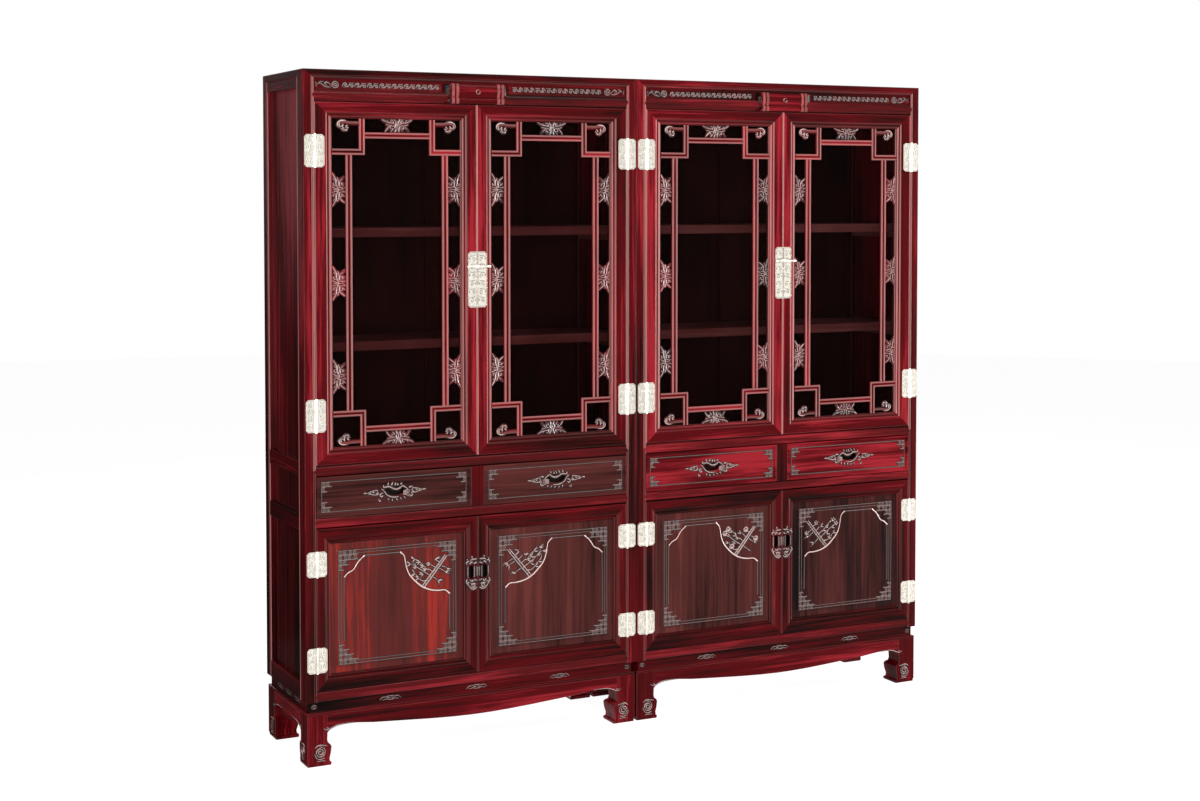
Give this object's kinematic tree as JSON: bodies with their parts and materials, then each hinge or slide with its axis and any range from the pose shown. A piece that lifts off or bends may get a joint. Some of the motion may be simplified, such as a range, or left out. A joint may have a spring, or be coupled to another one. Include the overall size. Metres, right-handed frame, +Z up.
{
  "type": "book cabinet",
  "caption": "Tall hardwood book cabinets side by side, with latticed glass doors above drawers and panelled doors, on low hoof-footed stands.",
  "frame": {"origin": "middle of the ground that the pair covers, on the floor plane", "axes": "+X along the pair to the right as seen from the front, -Y out of the front, +Z up"},
  "size_m": [2.2, 0.4225, 2.06],
  "materials": {
    "polished_rosewood": "gloss",
    "inside_wood": "satin",
    "cabinet_glass": "gloss",
    "brass": "satin"
  },
  "bodies": {
    "root": {"corner_posts": "polished_rosewood", "top_frames": "polished_rosewood", "top_panels": "inside_wood", "front_rails": "polished_rosewood", "frieze_boards": "polished_rosewood", "scroll_blocks": "polished_rosewood", "side_rails": "polished_rosewood", "side_panels": "polished_rosewood", "back_rails": "inside_wood", "back_panels": "inside_wood", "decks": "inside_wood", "shelves": "inside_wood", "drawer_dividers": "polished_rosewood", "drawer_runners": "inside_wood", "waist_boards": "polished_rosewood", "stand_top_frames": "polished_rosewood", "stand_aprons": "polished_rosewood", "stand_legs": "polished_rosewood", "fixed_hinge_leaves": "brass", "hinge_pins": "brass"},
    "left_unit_upper_left_door": {"left_unit_upper_left_door_frame": "polished_rosewood", "left_unit_upper_left_door_glass": "cabinet_glass", "left_unit_upper_left_door_lattice": "polished_rosewood", "left_unit_upper_left_door_hinge_leaves": "brass", "left_unit_upper_left_door_lock_half": "brass"},
    "left_unit_lower_left_door": {"left_unit_lower_left_door_frame": "polished_rosewood", "left_unit_lower_left_door_panel": "polished_rosewood", "left_unit_lower_left_door_hinge_leaves": "brass"},
    "left_unit_left_drawer": {"left_unit_left_drawer_front": "polished_rosewood", "left_unit_left_drawer_box": "inside_wood"},
    "left_unit_upper_right_door": {"left_unit_upper_right_door_frame": "polished_rosewood", "left_unit_upper_right_door_glass": "cabinet_glass", "left_unit_upper_right_door_lattice": "polished_rosewood", "left_unit_upper_right_door_hinge_leaves": "brass", "left_unit_upper_right_door_lock_half": "brass"},
    "left_unit_lower_right_door": {"left_unit_lower_right_door_frame": "polished_rosewood", "left_unit_lower_right_door_panel": "polished_rosewood", "left_unit_lower_right_door_hinge_leaves": "brass"},
    "left_unit_right_drawer": {"left_unit_right_drawer_front": "polished_rosewood", "left_unit_right_drawer_box": "inside_wood"},
    "right_unit_upper_left_door": {"right_unit_upper_left_door_frame": "polished_rosewood", "right_unit_upper_left_door_glass": "cabinet_glass", "right_unit_upper_left_door_lattice": "polished_rosewood", "right_unit_upper_left_door_hinge_leaves": "brass", "right_unit_upper_left_door_lock_half": "brass"},
    "right_unit_lower_left_door": {"right_unit_lower_left_door_frame": "polished_rosewood", "right_unit_lower_left_door_panel": "polished_rosewood", "right_unit_lower_left_door_hinge_leaves": "brass"},
    "right_unit_left_drawer": {"right_unit_left_drawer_front": "polished_rosewood", "right_unit_left_drawer_box": "inside_wood"},
    "right_unit_upper_right_door": {"right_unit_upper_right_door_frame": "polished_rosewood", "right_unit_upper_right_door_glass": "cabinet_glass", "right_unit_upper_right_door_lattice": "polished_rosewood", "right_unit_upper_right_door_hinge_leaves": "brass", "right_unit_upper_right_door_lock_half": "brass"},
    "right_unit_lower_right_door": {"right_unit_lower_right_door_frame": "polished_rosewood", "right_unit_lower_right_door_panel": "polished_rosewood", "right_unit_lower_right_door_hinge_leaves": "brass"},
    "right_unit_right_drawer": {"right_unit_right_drawer_front": "polished_rosewood", "right_unit_right_drawer_box": "inside_wood"}
  },
  "joints": [
    {"name": "left_unit_upper_left_door_hinge", "type": "hinge", "parent": "root", "child": "left_unit_upper_left_door", "pos_m": [-1.065, -0.19275, 1.43], "axis": [0, 0, -1], "range_deg": [0, 170]},
    {"name": "left_unit_lower_left_door_hinge", "type": "hinge", "parent": "root", "child": "left_unit_lower_left_door", "pos_m": [-1.065, -0.19275, 0.4655], "axis": [0, 0, -1], "range_deg": [0, 170]},
    {"name": "left_unit_left_drawer_slide", "type": "slide", "parent": "root", "child": "left_unit_left_drawer", "axis": [0, -1, 0], "range_m": [0, 0.28]},
    {"name": "left_unit_upper_right_door_hinge", "type": "hinge", "parent": "root", "child": "left_unit_upper_right_door", "pos_m": [-0.035, -0.19275, 1.43], "axis": [0, 0, 1], "range_deg": [0, 90]},
    {"name": "left_unit_lower_right_door_hinge", "type": "hinge", "parent": "root", "child": "left_unit_lower_right_door", "pos_m": [-0.035, -0.19275, 0.4655], "axis": [0, 0, 1], "range_deg": [0, 90]},
    {"name": "left_unit_right_drawer_slide", "type": "slide", "parent": "root", "child": "left_unit_right_drawer", "axis": [0, -1, 0], "range_m": [0, 0.28]},
    {"name": "right_unit_upper_left_door_hinge", "type": "hinge", "parent": "root", "child": "right_unit_upper_left_door", "pos_m": [0.035, -0.19275, 1.43], "axis": [0, 0, -1], "range_deg": [0, 90]},
    {"name": "right_unit_lower_left_door_hinge", "type": "hinge", "parent": "root", "child": "right_unit_lower_left_door", "pos_m": [0.035, -0.19275, 0.4655], "axis": [0, 0, -1], "range_deg": [0, 90]},
    {"name": "right_unit_left_drawer_slide", "type": "slide", "parent": "root", "child": "right_unit_left_drawer", "axis": [0, -1, 0], "range_m": [0, 0.28]},
    {"name": "right_unit_upper_right_door_hinge", "type": "hinge", "parent": "root", "child": "right_unit_upper_right_door", "pos_m": [1.065, -0.19275, 1.43], "axis": [0, 0, 1], "range_deg": [0, 170]},
    {"name": "right_unit_lower_right_door_hinge", "type": "hinge", "parent": "root", "child": "right_unit_lower_right_door", "pos_m": [1.065, -0.19275, 0.4655], "axis": [0, 0, 1], "range_deg": [0, 170]},
    {"name": "right_unit_right_drawer_slide", "type": "slide", "parent": "root", "child": "right_unit_right_drawer", "axis": [0, -1, 0], "range_m": [0, 0.28]}
  ]
}
